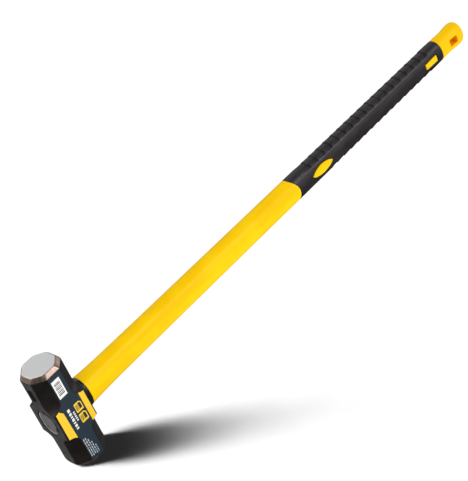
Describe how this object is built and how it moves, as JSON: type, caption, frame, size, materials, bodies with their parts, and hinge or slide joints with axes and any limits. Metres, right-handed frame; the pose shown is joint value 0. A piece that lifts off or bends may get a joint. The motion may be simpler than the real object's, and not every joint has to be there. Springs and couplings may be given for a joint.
{
  "type": "sledgehammer",
  "caption": "Long-handled double-faced sledgehammer with an octagonal forged head, a sleeved fibreglass handle, a ribbed rubber grip and a hanging hole in the butt.",
  "frame": {"origin": "centre of the lower striking face", "axes": "+Z along the strike axis to the upper striking face, +Y along the handle to the butt, +X out of the labelled cheek"},
  "size_m": [0.0562, 0.903, 0.163],
  "materials": {
    "black_forging": "black painted forging with bare ground striking faces",
    "fibreglass": "pultruded glass rod",
    "grey_resin": "cast resin",
    "black_collar": "moulded satin black",
    "yellow_plastic": "moulded satin yellow",
    "black_rubber": "soft matt rubber",
    "yellow_butt": "moulded satin yellow",
    "slate_label": "printed satin film",
    "white_sticker": "printed paper"
  },
  "bodies": {
    "root": {"head": "black_forging", "fibreglass_core": "fibreglass", "eye_resin": "grey_resin", "collar": "black_collar", "shaft_sleeve": "yellow_plastic", "grip_sleeve": "black_rubber", "end_cap": "yellow_butt", "cheek_label": "slate_label", "barcode_sticker": "white_sticker"}
  },
  "joints": []
}
